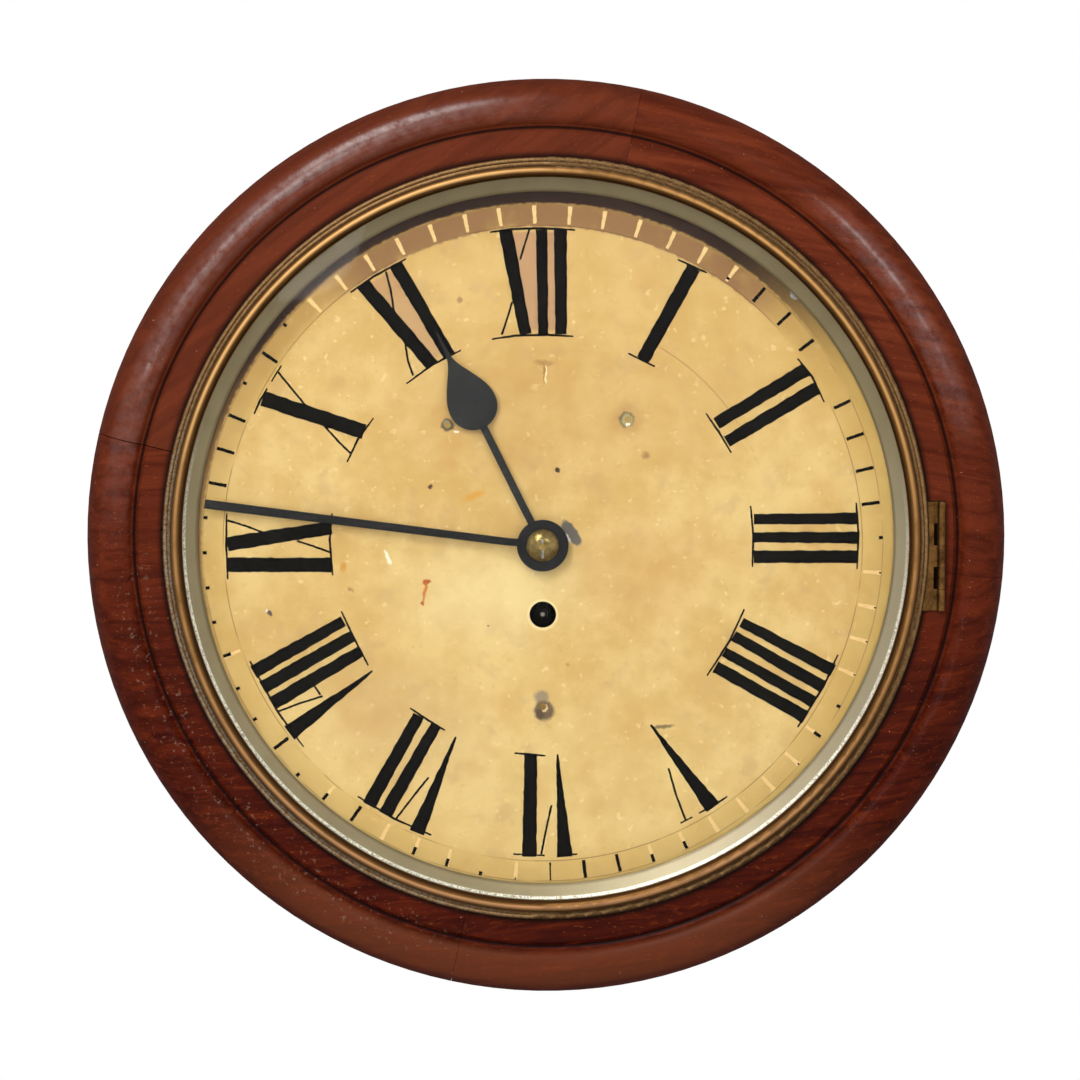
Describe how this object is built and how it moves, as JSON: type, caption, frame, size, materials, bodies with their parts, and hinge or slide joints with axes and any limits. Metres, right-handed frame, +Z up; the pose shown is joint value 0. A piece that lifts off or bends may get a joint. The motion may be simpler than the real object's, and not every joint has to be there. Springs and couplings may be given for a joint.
{
  "type": "dial wall clock",
  "caption": "Round wall clock with a turned wooden surround, hinged brass bezel, convex glass, Roman dial, two steel hands, spring movement and a box behind for the pendulum.",
  "frame": {"origin": "on the wall plane at the axis of the turned surround", "axes": "+Y into the wall, +Z up, +X to the right seen from the front; the dial faces -Y"},
  "size_m": [0.405, 0.1369, 0.405],
  "materials": {
    "mahogany": "worn French polish",
    "box_wood": "stained and waxed",
    "brass": "aged, partly polished",
    "dull_brass": "tarnished",
    "silvered": "silvered and worn",
    "glass": "clear",
    "dial_paint": "aged cream paint",
    "blued_steel": "blued",
    "steel": "polished",
    "gut": "oiled gut",
    "peg_wood": "plain"
  },
  "bodies": {
    "case": {"back_board": "box_wood", "hanging_plate": "brass", "left_side": "box_wood", "right_side": "box_wood", "top_board": "box_wood", "curved_foot": "box_wood", "wood_pegs": "peg_wood", "side_battens": "box_wood", "door_hinge_plates": "dull_brass", "surround": "mahogany", "surround_hinge_leaf": "brass", "hinge_pins": "steel", "screws": "steel", "catch_spring": "dull_brass", "dial": "dial_paint", "dial_feet": "steel", "front_plate": "dull_brass", "back_plate": "dull_brass", "pillars": "dull_brass", "taper_pins": "steel", "fusee_line": "gut", "back_cock": "dull_brass", "motion_bridge": "dull_brass", "stop_block": "dull_brass", "barrel_arbor": "steel", "setup_ratchet": "steel"},
    "bezel_door": {"bezel": "brass", "bezel_hinge_leaf": "brass", "glass": "glass", "sight_ring": "silvered", "bezel_catch": "dull_brass"},
    "side_door": {"side_door": "box_wood", "side_door_knob": "brass", "side_door_hinge_leaves": "dull_brass"},
    "bottom_door": {"bottom_door": "box_wood", "bottom_door_hinge_leaf": "dull_brass"},
    "side_button": {"side_turn_button": "dull_brass"},
    "bottom_button": {"bottom_turn_button": "dull_brass"},
    "minute_hand": {"minute_hand": "blued_steel", "hand_collet": "brass", "cannon_wheel": "dull_brass"},
    "hour_hand": {"hour_hand": "blued_steel", "hour_wheel": "dull_brass"},
    "minute_wheel": {"minute_wheel": "dull_brass"},
    "centre_arbor": {"centre_wheel": "dull_brass", "hand_pin": "steel"},
    "great_wheel": {"great_wheel": "dull_brass", "fusee_clicks": "steel"},
    "fusee": {"fusee": "dull_brass"},
    "barrel": {"barrel": "dull_brass", "mainspring": "blued_steel"},
    "third_arbor": {"third_wheel": "dull_brass"},
    "escape_arbor": {"escape_wheel": "dull_brass"},
    "anchor": {"pallets": "steel", "crutch": "steel"},
    "pendulum": {"suspension_spring": "steel", "pendulum_rod": "steel", "pendulum_bob": "brass", "rating_nut": "brass"},
    "stop_arm": {"stop_arm": "steel"}
  },
  "joints": [
    {"name": "bezel_open", "type": "hinge", "parent": "case", "child": "bezel_door", "pos_m": [0.1743, -0.1242, -0.0066], "axis": [0, 0, 1], "range_deg": [0, 115]},
    {"name": "side_door_open", "type": "hinge", "parent": "case", "child": "side_door", "pos_m": [0.1019, -0.024, 0], "axis": [0, 0, 1], "range_deg": [0, 95]},
    {"name": "bottom_door_open", "type": "hinge", "parent": "case", "child": "bottom_door", "pos_m": [-0.04453, -0.053, -0.17949], "axis": [0, 1, 0], "range_deg": [0, 80]},
    {"name": "side_button_turn", "type": "hinge", "parent": "case", "child": "side_button", "pos_m": [0.1015, -0.047, 0.064], "axis": [1, 0, 0], "range_deg": [0, 90]},
    {"name": "bottom_button_turn", "type": "hinge", "parent": "case", "child": "bottom_button", "pos_m": [0.05204, -0.053, -0.17365], "axis": [0.4813, 0, -0.8766], "range_deg": [0, 90]},
    {"name": "minute_hand_turn", "type": "hinge", "parent": "case", "child": "minute_hand", "pos_m": [-0.0012, -0.122, -0.0024], "axis": [0, 1, 0], "continuous": true},
    {"name": "hour_hand_turn", "type": "hinge", "parent": "case", "child": "hour_hand", "pos_m": [-0.0012, -0.119, -0.0024], "axis": [0, 1, 0], "continuous": true},
    {"name": "minute_wheel_turn", "type": "hinge", "parent": "case", "child": "minute_wheel", "pos_m": [0.024, -0.099, -0.0024], "axis": [0, 1, 0], "continuous": true},
    {"name": "centre_arbor_turn", "type": "hinge", "parent": "case", "child": "centre_arbor", "pos_m": [-0.0012, -0.09, -0.0024], "axis": [0, 1, 0], "continuous": true},
    {"name": "great_wheel_turn", "type": "hinge", "parent": "case", "child": "great_wheel", "pos_m": [-0.0012, -0.051, -0.0334], "axis": [0, 1, 0], "continuous": true},
    {"name": "fusee_wind", "type": "hinge", "parent": "great_wheel", "child": "fusee", "pos_m": [-0.0012, -0.07, -0.0334], "axis": [0, 1, 0], "range_deg": [0, 720]},
    {"name": "barrel_turn", "type": "hinge", "parent": "case", "child": "barrel", "pos_m": [-0.0352, -0.07, -0.0754], "axis": [0, 1, 0], "continuous": true},
    {"name": "third_arbor_turn", "type": "hinge", "parent": "case", "child": "third_arbor", "pos_m": [0.0096, -0.07, 0.0207], "axis": [0, 1, 0], "continuous": true},
    {"name": "escape_arbor_turn", "type": "hinge", "parent": "case", "child": "escape_arbor", "pos_m": [-0.0012, -0.055, 0.039], "axis": [0, 1, 0], "continuous": true},
    {"name": "pendulum_swing", "type": "hinge", "parent": "case", "child": "pendulum", "pos_m": [-0.0012, -0.027, 0.0616], "axis": [0, 1, 0], "range_deg": [-3, 3]},
    {"name": "anchor_rock", "type": "hinge", "parent": "case", "child": "anchor", "pos_m": [-0.0012, -0.0548, 0.0616], "axis": [0, 1, 0], "range_deg": [-3, 3]},
    {"name": "stop_arm_lift", "type": "hinge", "parent": "case", "child": "stop_arm", "pos_m": [-0.0512, -0.085, -0.0334], "axis": [0, 0, -1], "range_deg": [0, 3.2], "stiffness_Nm_per_rad": 0.002}
  ],
  "couplings": [
    {"joint": "hour_hand_turn", "follows": "minute_hand_turn", "ratio": 0.083333},
    {"joint": "minute_wheel_turn", "follows": "minute_hand_turn", "ratio": -1},
    {"joint": "centre_arbor_turn", "follows": "minute_hand_turn", "ratio": 1},
    {"joint": "great_wheel_turn", "follows": "minute_hand_turn", "ratio": -0.083333},
    {"joint": "barrel_turn", "follows": "minute_hand_turn", "ratio": -0.068027},
    {"joint": "third_arbor_turn", "follows": "minute_hand_turn", "ratio": -12},
    {"joint": "escape_arbor_turn", "follows": "minute_hand_turn", "ratio": 133.71},
    {"joint": "anchor_rock", "follows": "pendulum_swing", "ratio": 1}
  ]
}
